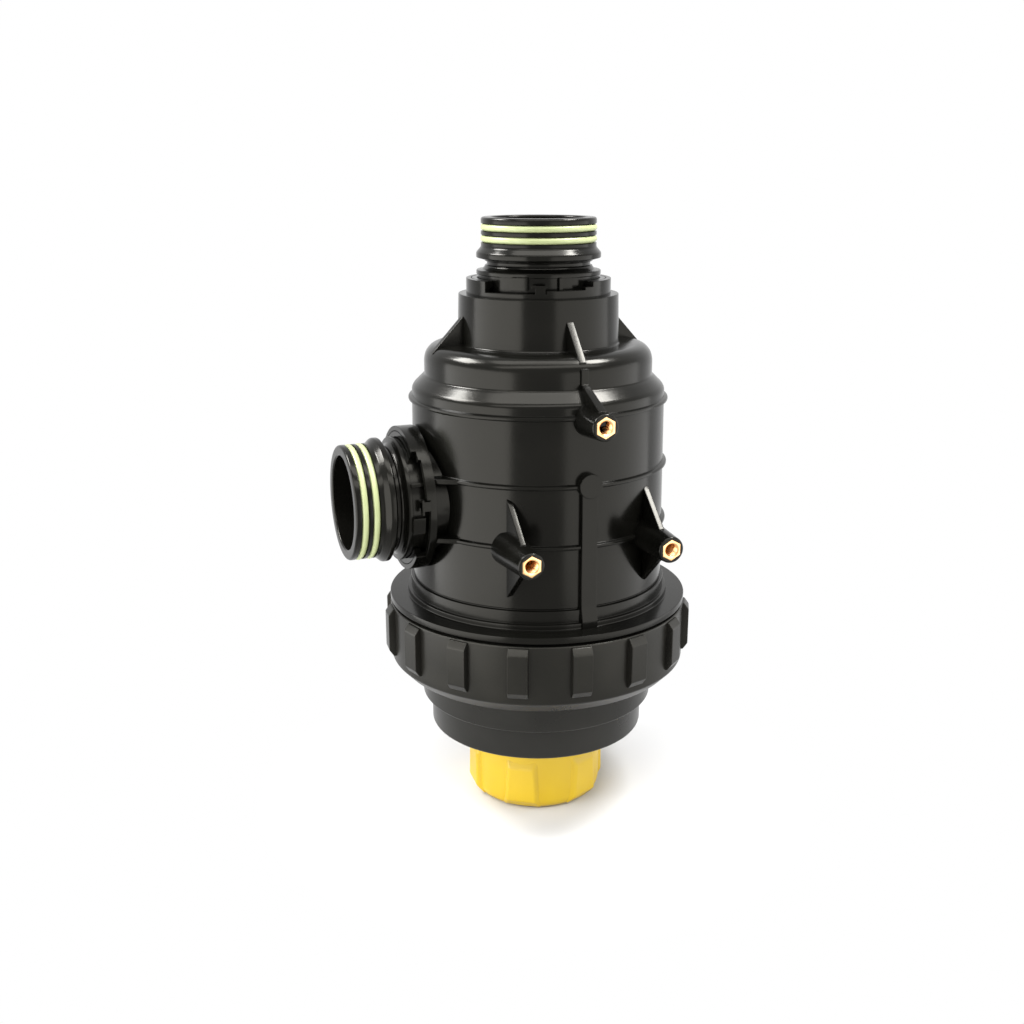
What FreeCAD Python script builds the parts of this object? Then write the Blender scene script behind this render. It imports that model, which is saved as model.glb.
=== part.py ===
import FreeCAD, Part
import math
import os
import Sketcher
from types import SimpleNamespace

# Driving sizes in millimetres and degrees. Heights are above the drain cap's underside.
driving_sizes = {
    # drain cap, its ribs and the thread it turns on
    "cap_radius": 38.0,
    "cap_height": 42.0,
    "cap_floor": 5.0,
    "cap_edge_round": 4.0,
    "cap_rib_count": 6,
    "cap_rib_radius": 40.4,
    "cap_rib_top": 27.0,
    "cap_rib_top_width": 15.0,
    "cap_rib_foot_width": 17.5,
    "cap_rib_slope": 20.0,
    "cap_rib_sink": 2.0,
    "cap_rib_angle": 25.7,
    "drain_neck_radius": 29.8,
    "drain_bore_radius": 24.0,
    "gasket_thickness": 3.0,
    "gasket_bore_radius": 21.5,
    # bowl
    "bowl_bottom": 45.3,
    "bowl_step": 63.8,
    "bowl_lower_radius": 61.8,
    "bowl_radius": 67.0,
    "bowl_wall": 4.6,
    "bowl_flange_radius": 76.4,
    "bowl_flange_thickness": 5.5,
    "bowl_spigot_height": 11.0,
    "bowl_spigot_wall": 6.0,
    "bowl_ring_section": 4.0,
    # ring nut
    "nut_bottom": 82.0,
    "nut_top": 121.3,
    "nut_radius": 85.0,
    "nut_wall": 5.4,
    "nut_lip": 6.2,
    "nut_foot_chamfer": 6.5,
    "nut_edge_round": 0.8,
    "nut_rib_count": 16,
    "nut_rib_radius": 88.5,
    "nut_rib_width": 11.0,
    "nut_rib_foot": 92.4,
    "nut_rib_chamfer": 4.0,
    "nut_rib_angle": -5.8,
    # barrel and its thread skirt
    "skirt_bottom": 94.2,
    "seal_bore_radius": 72.0,
    "seal_bore_depth": 14.0,
    "flange_radius": 85.0,
    "flange_bottom": 123.0,
    "flange_top": 126.5,
    "lower_ring_radius": 74.8,
    "lower_ring_top": 129.5,
    "upper_ring_radius": 72.8,
    "upper_ring_top": 136.4,
    "barrel_foot_radius": 71.15,
    "barrel_top_radius": 70.05,
    "barrel_inner_radius": 66.4,
    "bead_proud": 2.0,
    "bead_width": 2.6,
    "low_bead_height": 170.5,
    "middle_bead_height": 202.8,
    "top_bead_height": 238.6,
    # shoulder, dome and turret
    "shoulder_bottom": 243.2,
    "shoulder_top": 250.8,
    "shoulder_round": 8.0,
    "dome_radius": 63.05,
    "dome_wall": 4.0,
    "dome_edge": 260.4,
    "dome_top": 268.3,
    "dome_round": 8.0,
    "turret_foot_radius": 44.4,
    "turret_top_radius": 43.7,
    "turret_inner_radius": 40.2,
    "turret_plate": 4.5,
    "turret_top": 295.1,
    "sleeve_bottom": 245.0,
    "gusset_thickness": 3.4,
    "gusset_top": 284.0,
    "gusset_reach": 61.5,
    # mould rib with its gate pad
    "mould_rib_width": 7.0,
    "mould_rib_top_reach": 73.2,
    "mould_rib_foot_reach": 75.8,
    "gate_pad_radius": 6.3,
    "gate_pad_reach": 74.4,
    # mounting bosses
    "boss_face": 90.3,
    "boss_radius": 7.0,
    "boss_root_radius": 9.2,
    "boss_depth": 36.0,
    "boss_circle_radius": 45.0,
    "boss_circle_height": 192.2,
    "fin_thickness": 3.2,
    "fin_setback": 12.3,
    "fin_root_rise": 25.0,
    "brace_root_height": 255.5,
    "brace_thickness": 3.4,
    "insert_flats": 10.0,
    "insert_length": 15.0,
    "insert_bore_radius": 3.4,
    # ports and crowns, measured outwards from the turret's end face
    "side_port_height": 186.7,
    "side_port_end": 72.9,
    "side_port_turn": 26.9,
    "socket_radius": 28.2,
    "socket_wall": 4.1,
    "socket_depth": 12.0,
    "port_web_thickness": 2.6,
    "port_web_inner": 26.5,
    "port_web_reach": 33.5,
    "port_web_root": 39.5,
    "port_web_anchor": 57.0,
    "crown_radius": 39.4,
    "crown_wall": 3.3,
    "crown_floor": 1.2,
    "crown_ring_height": 2.6,
    "crown_step_height": 4.2,
    "crown_tab_height": 5.6,
    "crown_block_height": 7.0,
    "crown_lip_reach": 2.6,
    "crown_lip_thickness": 2.4,
    "post_height": 7.0,
    "post_cap_thickness": 1.4,
    "post_cap_start": -27.2,
    "post_start": -24.2,
    "post_end": -15.5,
    "tab_start": 16.7,
    "block_start": 25.1,
    "block_end": 112.8,
    # spigots, measured outwards from the turret's end face
    "spigot_radius": 31.25,
    "spigot_bore_radius": 25.5,
    "spigot_reach": 40.2,
    "spigot_rim_round": 1.2,
    "ring_setback": 5.3,
    "ring_spacing": 6.0,
    "ring_section": 3.6,
    "ring_outer_radius": 31.45,
    "ridge_radius": 33.85,
    "ridge_bottom": 19.0,
    "ridge_top": 21.7,
    "ridge_chamfer": 2.7,
    "fork_groove_radius": 28.0,
    "spigot_flange_radius": 33.8,
    "spigot_flange_bottom": 10.2,
    "spigot_flange_top": 12.5,
    "spigot_base_radius": 32.8,
    "wing_radius": 35.8,
    "wing_bottom": 1.0,
    "wing_top": 4.2,
    "wing_start": 32.0,
    "wing_end": 104.0,
    "stop_start": -46.0,
    "stop_end": -31.0,
    "stop_bottom": 3.9,
    "tail_length": 11.4,
    "tail_bore_radius": 23.9,
    "tail_ring_section": 2.5,
    # strainer cartridge
    "mesh_radius": 53.2,
    "mesh_thickness": 0.6,
    "cage_thickness": 2.2,
    "cage_window_count": 6,
    "cage_window_rows": 4,
    "cage_bar": 7.0,
    "base_foot_height": 6.0,
    "base_foot_count": 4,
    "base_plate": 4.0,
    "base_rim_height": 8.0,
    "end_ring_radius": 54.2,
    "cartridge_top": 232.0,
    "end_ring_height": 5.0,
    "collar_height": 30.0,
    "collar_wall": 3.4,
    "collar_ring_section": 3.0,
    # clearances
    "thread_clearance": 0.4,
    "face_clearance": 0.3,
    "seal_clearance": 0.3,
    "socket_clearance": 0.2,
    "overcut": 2.0,
}

doc = FreeCAD.newDocument("suction_filter")
sheet = doc.addObject("Spreadsheet::Sheet", "Sizes")
for row, (alias, number) in enumerate(driving_sizes.items(), start=1):
    sheet.set(f"A{row}", alias)
    sheet.set(f"B{row}", str(number))
    sheet.setAlias(f"B{row}", alias)
doc.recompute()


# A size keeps its number together with the sheet expression that gives it.
class Size:
    def __init__(self, number, text):
        self.number = number
        self.text = text

    def __add__(self, other):
        other = as_size(other)
        return Size(self.number + other.number, f"({self.text} + {other.text})")

    def __radd__(self, other):
        return as_size(other) + self

    def __sub__(self, other):
        other = as_size(other)
        return Size(self.number - other.number, f"({self.text} - {other.text})")

    def __rsub__(self, other):
        return as_size(other) - self

    def __mul__(self, other):
        other = as_size(other)
        return Size(self.number * other.number, f"({self.text} * {other.text})")

    def __rmul__(self, other):
        return as_size(other) * self

    def __truediv__(self, other):
        other = as_size(other)
        return Size(self.number / other.number, f"({self.text} / {other.text})")

    def __neg__(self):
        return as_size(0) - self


def as_size(thing):
    if isinstance(thing, Size):
        return thing
    return Size(float(thing), f"{float(thing):g}")


size = SimpleNamespace(**{name: Size(number, f"Sizes.{name}") for name, number in driving_sizes.items()})


def bind(thing, name, value):
    """Sets a property of an object and ties it to the sheet."""
    value = as_size(value)
    thing.setExpression(name, value.text)


def new_body(name):
    body = doc.addObject("PartDesign::Body", name)
    body.Label = name
    return body


def origin_feature(body, role):
    return next(part for part in body.Origin.OriginFeatures if part.Role == role)


def new_sketch(body, name, plane, offset=None):
    """Adds a sketch on one of the body's own planes, moved along the plane's normal by offset."""
    sketch = body.newObject("Sketcher::SketchObject", name)
    sketch.AttachmentSupport = [(origin_feature(body, plane), "")]
    sketch.MapMode = "FlatFace"
    if offset is not None:
        bind(sketch, "AttachmentOffset.Base.z", offset)
    doc.recompute()
    return sketch


def pin_point(sketch, element, end, place):
    """Ties one end of an element to its distances from the sketch's origin."""
    for kind, axis, distance in (("DistanceX", -2, place[0]), ("DistanceY", -1, place[1])):
        if abs(distance.number) < 1e-9:
            sketch.addConstraint(Sketcher.Constraint("PointOnObject", element, end, axis))
        elif distance.number > 0:
            made = sketch.addConstraint(Sketcher.Constraint(kind, -1, 1, element, end, distance.number))
            sketch.setExpression(f"Constraints[{made}]", distance.text)
        else:
            flipped = -distance
            made = sketch.addConstraint(Sketcher.Constraint(kind, element, end, -1, 1, flipped.number))
            sketch.setExpression(f"Constraints[{made}]", flipped.text)


def arc_centre(start, end, radius):
    """Centre of an arc from start to end: left of the way for a positive radius, else right."""
    middle = (start + end) / 2
    half = (end - start) / 2
    rise = math.sqrt(max(radius * radius - half.Length**2, 0.0))
    left = FreeCAD.Vector(-half.y, half.x, 0).normalize()
    return middle + left * math.copysign(rise, radius)


def closed_outline(sketch, corners):
    """Closed outline through the corners. A corner with a third value is reached by an arc."""
    corners = [tuple(as_size(value) for value in corner) for corner in corners]
    places = [FreeCAD.Vector(corner[0].number, corner[1].number, 0) for corner in corners]
    ends = []
    for index, corner in enumerate(corners):
        following = (index + 1) % len(corners)
        start, end = places[index], places[following]
        if len(corners[following]) == 2:
            element = sketch.addGeometry(Part.LineSegment(start, end))
            ends.append((element, 1, 2))
            continue
        radius = corners[following][2]
        centre = arc_centre(start, end, radius.number)
        turning_left = radius.number > 0
        first, last = (start, end) if turning_left else (end, start)
        first_angle = math.atan2(first.y - centre.y, first.x - centre.x)
        last_angle = math.atan2(last.y - centre.y, last.x - centre.x)
        if last_angle < first_angle:
            last_angle += 2 * math.pi
        circle = Part.Circle(centre, FreeCAD.Vector(0, 0, 1), abs(radius.number))
        element = sketch.addGeometry(Part.ArcOfCircle(circle, first_angle, last_angle))
        ends.append((element, 1, 2) if turning_left else (element, 2, 1))
        length = radius if turning_left else -radius
        made = sketch.addConstraint(Sketcher.Constraint("Radius", element, length.number))
        sketch.setExpression(f"Constraints[{made}]", length.text)
    for index, (element, start_end, _) in enumerate(ends):
        before = ends[index - 1]
        sketch.addConstraint(Sketcher.Constraint("Coincident", before[0], before[2], element, start_end))
        pin_point(sketch, element, start_end, corners[index])
    return sketch


def sector_outline(sketch, inner, outer, start, end):
    """Closed outline of a piece of a ring round the sketch's origin, between two angles."""
    centre = FreeCAD.Vector(0, 0, 0)
    normal = FreeCAD.Vector(0, 0, 1)
    first, last = math.radians(start.number), math.radians(end.number)
    arcs = []
    for radius in (inner, outer):
        circle = Part.Circle(centre, normal, radius.number)
        arc = sketch.addGeometry(Part.ArcOfCircle(circle, first, last))
        sketch.addConstraint(Sketcher.Constraint("Coincident", arc, 3, -1, 1))
        made = sketch.addConstraint(Sketcher.Constraint("Radius", arc, radius.number))
        sketch.setExpression(f"Constraints[{made}]", radius.text)
        arcs.append(arc)
    for end_point, angle in ((1, start), (2, end)):
        turn = math.radians(angle.number)
        way = FreeCAD.Vector(math.cos(turn), math.sin(turn), 0)
        side = sketch.addGeometry(Part.LineSegment(way * inner.number, way * outer.number))
        sketch.addConstraint(Sketcher.Constraint("Coincident", arcs[0], end_point, side, 1))
        sketch.addConstraint(Sketcher.Constraint("Coincident", arcs[1], end_point, side, 2))
        sketch.addConstraint(Sketcher.Constraint("PointOnObject", -1, 1, side))
        made = sketch.addConstraint(Sketcher.Constraint("Angle", -1, 1, side, 1, turn))
        sketch.setExpression(f"Constraints[{made}]", f"{angle.text} * 1 deg")
    return sketch


def revolve(body, name, corners, plane="XZ_Plane"):
    """Turns a closed outline of (radius, height) corners round the body's Z axis."""
    sketch = closed_outline(new_sketch(body, f"{name}_outline", plane), corners)
    turned = body.newObject("PartDesign::Revolution", name)
    turned.Profile = sketch
    turned.ReferenceAxis = (sketch, ["V_Axis"])
    turned.Angle = 360
    sketch.Visibility = False
    body.Tip = turned
    return turned


def pad(body, name, sketch, length, symmetric=False):
    raised = body.newObject("PartDesign::Pad", name)
    raised.Profile = sketch
    raised.Type = "Length"
    if symmetric:
        raised.SideType = "Symmetric"
    bind(raised, "Length", length)
    sketch.Visibility = False
    body.Tip = raised
    return raised


def around_axis(body, name, features, count):
    """Repeats features round the body's Z axis."""
    pattern = body.newObject("PartDesign::PolarPattern", name)
    pattern.Originals = features
    pattern.Axis = (origin_feature(body, "Z_Axis"), [""])
    pattern.Angle = 360
    bind(pattern, "Occurrences", count)
    body.Tip = pattern
    return pattern


# Each port's own axes: towards the bosses, a quarter turn on, and outwards; then its turn.
port_frames = {
    "top": ((0, -1, 0), (1, 0, 0), (0, 0, 1), 0.0),
    "side": ((0, -1, 0), (0, 0, 1), (-1, 0, 0), size.side_port_turn.number),
}


def place_on_port(thing, port, height):
    """Puts a thing's Z axis on a port's axis, so far outside the port's end face."""
    *axes, turn = port_frames[port]
    facing = FreeCAD.Rotation(*[FreeCAD.Vector(*axis) for axis in axes], "ZXY")
    turned = facing.multiply(FreeCAD.Rotation(FreeCAD.Vector(0, 0, 1), turn))
    thing.Placement = FreeCAD.Placement(FreeCAD.Vector(0, 0, 0), turned)
    if port == "top":
        bind(thing, "Placement.Base.z", size.turret_top + height)
    else:
        bind(thing, "Placement.Base.x", -size.side_port_end - height)
        bind(thing, "Placement.Base.z", size.side_port_height)
    return thing


def ring_seal(name, section, outer_radius):
    """A round seal of the given section about its own Z axis."""
    seal = doc.addObject("Part::Torus", name)
    seal.Label = name
    bind(seal, "Radius1", outer_radius - section / 2)
    bind(seal, "Radius2", section / 2)
    return seal


def barrel_radius(height):
    """Outer radius of the drafted barrel at a height."""
    fall = size.barrel_foot_radius - size.barrel_top_radius
    span = size.shoulder_bottom - size.upper_ring_top
    return size.barrel_foot_radius - fall * (height - size.upper_ring_top) / span


def bead_corners(height):
    """The four corners of a bead on the barrel, with its outer edges narrowed."""
    half = size.bead_width / 2
    crest = barrel_radius(height) + size.bead_proud
    return [
        (barrel_radius(height - half), height - half),
        (crest, height - half * 0.45),
        (crest, height + half * 0.45),
        (barrel_radius(height + half), height + half),
    ]


def make_barrel():
    """The solid outer form of barrel, shoulder, dome and turret, before it is hollowed."""
    body = new_body("barrel_form")
    skirt_radius = size.nut_radius - size.nut_wall - size.thread_clearance
    beads = [
        corner
        for height in (size.low_bead_height, size.middle_bead_height, size.top_bead_height)
        for corner in bead_corners(height)
    ]
    corners = [
        (0, size.skirt_bottom),
        (skirt_radius, size.skirt_bottom),
        (skirt_radius, size.flange_bottom),
        (size.flange_radius, size.flange_bottom),
        (size.flange_radius, size.flange_top),
        (size.lower_ring_radius, size.flange_top),
        (size.lower_ring_radius, size.lower_ring_top),
        (size.upper_ring_radius, size.lower_ring_top),
        (size.upper_ring_radius, size.upper_ring_top),
        (size.barrel_foot_radius, size.upper_ring_top),
        *beads,
        (size.barrel_top_radius, size.shoulder_bottom),
        (size.dome_radius, size.shoulder_top, size.shoulder_round),
        (size.dome_radius, size.dome_edge),
        (size.dome_radius - size.dome_round, size.dome_top, size.dome_round),
        (size.turret_foot_radius, size.dome_top),
        (size.turret_top_radius, size.turret_top),
        (0, size.turret_top),
    ]
    revolve(body, "barrel_turned", corners)

    gusset = new_sketch(body, "turret_gusset_outline", "YZ_Plane")
    closed_outline(
        gusset,
        [
            (-size.turret_inner_radius, size.dome_top - size.dome_wall),
            (-size.turret_inner_radius, size.gusset_top),
            (-size.turret_top_radius, size.gusset_top),
            (-size.gusset_reach, size.dome_top - size.dome_wall),
        ],
    )
    gusset_pad = pad(body, "turret_gusset", gusset, size.gusset_thickness, symmetric=True)
    around_axis(body, "turret_gussets", [gusset_pad], 4)

    rib = new_sketch(body, "mould_rib_outline", "YZ_Plane")
    closed_outline(
        rib,
        [
            (-size.barrel_inner_radius, size.flange_top - size.overcut / 2),
            (-size.barrel_inner_radius, size.middle_bead_height),
            (-size.mould_rib_top_reach, size.middle_bead_height),
            (-size.mould_rib_foot_reach, size.flange_top - size.overcut / 2),
        ],
    )
    pad(body, "mould_rib", rib, size.mould_rib_width, symmetric=True)

    brace_face = size.boss_face - size.brace_thickness
    brace = new_sketch(body, "boss_brace_outline", "YZ_Plane")
    boss_top = size.boss_circle_height + size.boss_circle_radius + size.boss_radius
    closed_outline(
        brace,
        [
            (-size.barrel_inner_radius + size.bead_proud, boss_top - size.boss_radius),
            (-size.dome_radius + size.bead_proud, size.dome_edge),
            (-size.dome_radius - size.bead_proud * 0.6, size.dome_edge),
            (-size.dome_radius - size.bead_proud * 0.6, size.brace_root_height),
            (-brace_face, boss_top),
            (-brace_face, boss_top - size.boss_radius),
        ],
    )
    pad(body, "boss_brace", brace, size.brace_thickness, symmetric=True)
    return body


def make_boss_fin(name, across):
    """The upright fin that carries one of the two low bosses, above and below it."""
    body = new_body(name)
    sketch = new_sketch(body, f"{name}_outline", "YZ_Plane", across)
    height = size.boss_circle_height - size.boss_circle_radius / 2
    tip = -size.boss_face + size.fin_setback
    root = tip + size.fin_root_rise + size.overcut
    closed_outline(
        sketch,
        [
            (root, height + size.fin_root_rise),
            (tip, height + size.boss_radius * 1.12),
            (tip, height - size.boss_radius * 1.12),
            (root, height - size.fin_root_rise),
        ],
    )
    pad(body, f"{name}_plate", sketch, size.fin_thickness, symmetric=True)
    return body


def boss_places():
    """Across and height of each boss: one at the top of the bolt circle and two low ones."""
    low = size.boss_circle_height - size.boss_circle_radius / 2
    half_span = size.boss_circle_radius * (math.sqrt(3) / 2)
    return {
        "top": (as_size(0), size.boss_circle_height + size.boss_circle_radius),
        "left": (-half_span, low),
        "right": (half_span, low),
    }


towards_barrel = FreeCAD.Rotation(FreeCAD.Vector(1, 0, 0), -90)


def place_at_front(thing, across, front, height):
    """Turns a thing's Z axis towards the barrel's back and puts its base at the front."""
    thing.Placement = FreeCAD.Placement(FreeCAD.Vector(0, 0, 0), towards_barrel)
    bind(thing, "Placement.Base.x", across)
    bind(thing, "Placement.Base.y", front)
    bind(thing, "Placement.Base.z", height)


def place_on_boss(thing, side, depth):
    """Puts a thing along a boss, with its base so deep behind the boss's face."""
    across, height = boss_places()[side]
    place_at_front(thing, across, depth - size.boss_face, height)


def make_boss(side):
    boss = doc.addObject("Part::Cone", f"boss_{side}")
    bind(boss, "Radius1", size.boss_radius)
    bind(boss, "Radius2", size.boss_root_radius)
    bind(boss, "Height", size.boss_depth)
    place_on_boss(boss, side, as_size(0))
    return boss


def hexagon(name, side, start, length):
    block = doc.addObject("Part::Prism", name)
    block.Polygon = 6
    bind(block, "Circumradius", size.insert_flats / math.sqrt(3))
    bind(block, "Height", length)
    place_on_boss(block, side, start)
    return block


def rod(name, radius, length):
    """A cylinder along its own Z axis."""
    cylinder = doc.addObject("Part::Cylinder", name)
    bind(cylinder, "Radius", radius)
    bind(cylinder, "Height", length)
    return cylinder


def fuse(name, shapes):
    fused = doc.addObject("Part::MultiFuse", name)
    fused.Shapes = shapes
    fused.Refine = True
    return fused


def cut(name, base, tool):
    removed = doc.addObject("Part::Cut", name)
    removed.Base = base
    removed.Tool = tool
    removed.Refine = True
    return removed


def make_cavity():
    """The room inside barrel, dome and turret, with the sleeve for the cartridge left standing."""
    body = new_body("barrel_cavity")
    ceiling = size.dome_top - size.dome_wall
    inner_dome = size.dome_radius - size.dome_wall
    shoulder_foot = size.shoulder_bottom - size.dome_wall * 0.8
    seal_bore_end = size.skirt_bottom + size.seal_bore_depth
    lead = size.seal_bore_radius - size.barrel_inner_radius
    corners = [
        (0, size.skirt_bottom - size.overcut),
        (size.seal_bore_radius, size.skirt_bottom - size.overcut),
        (size.seal_bore_radius, seal_bore_end),
        (size.barrel_inner_radius, seal_bore_end + lead),
        (size.barrel_inner_radius, shoulder_foot),
        (inner_dome, size.shoulder_top - size.dome_wall * 0.8, size.shoulder_round),
        (inner_dome, size.dome_edge - size.dome_wall / 4),
        (inner_dome - size.dome_wall, ceiling),
        (size.turret_foot_radius, ceiling),
        (size.turret_foot_radius, size.sleeve_bottom),
        (size.turret_inner_radius, size.sleeve_bottom),
        (size.turret_inner_radius, size.turret_top - size.turret_plate),
        (0, size.turret_top - size.turret_plate),
    ]
    revolve(body, "cavity_turned", corners)
    return body


def add_sector(body, name, inner, outer, start, end, bottom, top):
    """A raised piece of a ring between two angles and two heights."""
    sketch = new_sketch(body, f"{name}_outline", "XY_Plane", bottom)
    sector_outline(sketch, as_size(inner), as_size(outer), as_size(start), as_size(end))
    return pad(body, name, sketch, top - bottom)


def make_crown(port):
    """A port's socket tube with the castellated crown that locks the spigot."""
    body = new_body(f"{port}_crown")
    crown_inner = size.crown_radius - size.crown_wall
    tube = size.socket_radius + size.socket_wall
    corners = [
        (0, -size.socket_depth),
        (tube, -size.socket_depth),
        (tube, -size.crown_floor),
        (size.crown_radius, -size.crown_floor),
        (size.crown_radius, size.crown_ring_height),
        (crown_inner, size.crown_ring_height),
        (crown_inner, 0),
        (0, 0),
    ]
    revolve(body, "socket_turned", corners)
    foot = size.crown_ring_height / 2
    lip_inner = crown_inner - size.crown_lip_reach
    lip_bottom = size.crown_block_height - size.crown_lip_thickness
    cap_bottom = size.post_height - size.post_cap_thickness
    outer = size.crown_radius
    pieces = [
        ("block", crown_inner, outer, size.block_start, size.block_end, foot, size.crown_block_height),
        ("lip", lip_inner, crown_inner + 1, size.block_start, size.block_end, lip_bottom, size.crown_block_height),
        ("tab", crown_inner, outer, size.tab_start, size.block_start + 1, foot, size.crown_tab_height),
        ("step", crown_inner, outer, size.post_end - 1, size.tab_start + 1, foot, size.crown_step_height),
        ("post", crown_inner, outer, size.post_start, size.post_end, foot, size.post_height),
        ("post_cap", crown_inner, outer, size.post_cap_start, size.post_start + 1, cap_bottom, size.post_height),
    ]
    raised = [add_sector(body, f"crown_{name}", *piece) for name, *piece in pieces]
    around_axis(body, "crown_pieces", raised, 2)
    return place_on_port(body, port, as_size(0))


def make_port_webs():
    """The flat webs that tie the side crown to the barrel's beads, before and behind its socket."""
    body = new_body("port_webs")
    crown_back = size.side_port_end - size.crown_floor / 2
    bead_edge = size.port_web_anchor + size.bead_proud * 2
    levels = {"low": size.low_bead_height, "middle": size.middle_bead_height}
    for level, height in levels.items():
        for side, sign in (("front", -1), ("back", 1)):
            sketch = new_sketch(body, f"{level}_{side}_web_outline", "XY_Plane", height)
            corners = [
                (-crown_back, size.port_web_inner * sign),
                (-size.port_web_anchor, size.port_web_inner * sign),
                (-size.port_web_anchor, size.port_web_root * sign),
                (-bead_edge, size.port_web_root * sign),
                (-crown_back, size.port_web_reach * sign),
            ]
            closed_outline(sketch, corners)
            pad(body, f"{level}_{side}_web", sketch, size.port_web_thickness, symmetric=True)
    return body


def make_filter_body():
    gate_pad = rod("gate_pad", size.gate_pad_radius, size.gate_pad_reach - size.barrel_inner_radius)
    place_at_front(gate_pad, as_size(0), -size.gate_pad_reach, size.middle_bead_height)
    bosses = [make_boss(side) for side in boss_places()]
    fins = [make_boss_fin(f"fin_{side}", boss_places()[side][0]) for side in ("left", "right")]
    outer = fuse("outer_form", [make_barrel(), gate_pad, make_port_webs(), *bosses, *fins])
    hollow = cut("hollow_form", outer, make_cavity())
    with_ports = fuse("ported_form", [hollow, make_crown("top"), make_crown("side")])
    bores = []
    for port in port_frames:
        bore = rod(f"{port}_socket_bore", size.socket_radius, size.socket_depth + size.overcut * 2)
        bores.append(place_on_port(bore, port, -size.socket_depth - size.overcut))
    pockets = [
        hexagon(f"insert_pocket_{side}", side, -size.overcut, size.insert_length + size.overcut)
        for side in boss_places()
    ]
    return cut("filter_body", with_ports, fuse("bores", bores + pockets))


def make_insert(side):
    """A hexagonal brass insert, flush in its boss, with its tapping bore through it."""
    blank = hexagon(f"insert_blank_{side}", side, as_size(0), size.insert_length)
    bore = rod(f"insert_bore_{side}", size.insert_bore_radius, size.insert_length + size.overcut * 2)
    place_on_boss(bore, side, -size.overcut)
    return cut(f"brass_insert_{side}", blank, bore)


def make_spigot(port):
    """A male fork-coupling spigot: two ring grooves, ridge, fork groove, flange, wings and tail."""
    name = f"{port}_spigot"
    body = new_body(name)
    groove_radius = size.ring_outer_radius - size.ring_section
    half = size.ring_section / 2 + size.seal_clearance / 2
    outer_ring = size.spigot_reach - size.ring_setback
    inner_ring = outer_ring - size.ring_spacing
    tail_radius = size.socket_radius - size.socket_clearance
    tail_groove = tail_radius - size.tail_ring_section + size.socket_clearance / 2
    tail_ring = -size.socket_depth / 2
    tail_half = size.tail_ring_section / 2 + size.seal_clearance / 2
    rim = size.spigot_rim_round
    fork_room = size.ridge_bottom - size.spigot_flange_top
    corners = [
        (size.tail_bore_radius, -size.tail_length),
        (tail_radius - 0.8, -size.tail_length),
        (tail_radius, -size.tail_length + 0.8),
        (tail_radius, tail_ring - tail_half),
        (tail_groove, tail_ring - tail_half),
        (tail_groove, tail_ring + tail_half),
        (tail_radius, tail_ring + tail_half),
        (tail_radius, 0),
        (size.spigot_base_radius, 0),
        (size.spigot_base_radius, size.spigot_flange_bottom),
        (size.spigot_flange_radius, size.spigot_flange_bottom),
        (size.spigot_flange_radius, size.spigot_flange_top),
        (size.fork_groove_radius + fork_room * 0.3, size.spigot_flange_top + fork_room * 0.12),
        (size.fork_groove_radius, size.ridge_bottom - fork_room * 0.4),
        (size.spigot_radius, size.ridge_bottom - fork_room * 0.15),
        (size.ridge_radius, size.ridge_bottom),
        (size.ridge_radius, size.ridge_top),
        (size.spigot_radius, size.ridge_top + size.ridge_chamfer),
        (size.spigot_radius, inner_ring - half),
        (groove_radius, inner_ring - half),
        (groove_radius, inner_ring + half),
        (size.spigot_radius, inner_ring + half),
        (size.spigot_radius, outer_ring - half),
        (groove_radius, outer_ring - half),
        (groove_radius, outer_ring + half),
        (size.spigot_radius, outer_ring + half),
        (size.spigot_radius, size.spigot_reach - rim),
        (size.spigot_radius - rim, size.spigot_reach, rim),
        (size.spigot_bore_radius + rim, size.spigot_reach),
        (size.spigot_bore_radius, size.spigot_reach - rim, rim),
        (size.spigot_bore_radius, size.wing_top),
        (size.tail_bore_radius, 0),
    ]
    revolve(body, "spigot_turned", corners)
    inside = size.spigot_base_radius - 1
    wing = add_sector(
        body, "wing", inside, size.wing_radius, size.wing_start, size.wing_end, size.wing_bottom, size.wing_top
    )
    stop = add_sector(
        body,
        "stop_lug",
        inside,
        size.wing_radius,
        size.stop_start,
        size.stop_end,
        size.stop_bottom,
        size.spigot_flange_bottom + 0.5,
    )
    around_axis(body, "wings_and_lugs", [wing, stop], 2)
    place_on_port(body, port, as_size(0))
    seals = {
        "o_ring_outer": (size.ring_section, size.ring_outer_radius, outer_ring),
        "o_ring_inner": (size.ring_section, size.ring_outer_radius, inner_ring),
        "tail_o_ring": (size.tail_ring_section, tail_groove + size.tail_ring_section, tail_ring),
    }
    rings = []
    for label, (section, outer_radius, height) in seals.items():
        rings.append(place_on_port(ring_seal(f"{port}_{label}", section, outer_radius), port, height))
    return [body, *rings]


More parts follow.
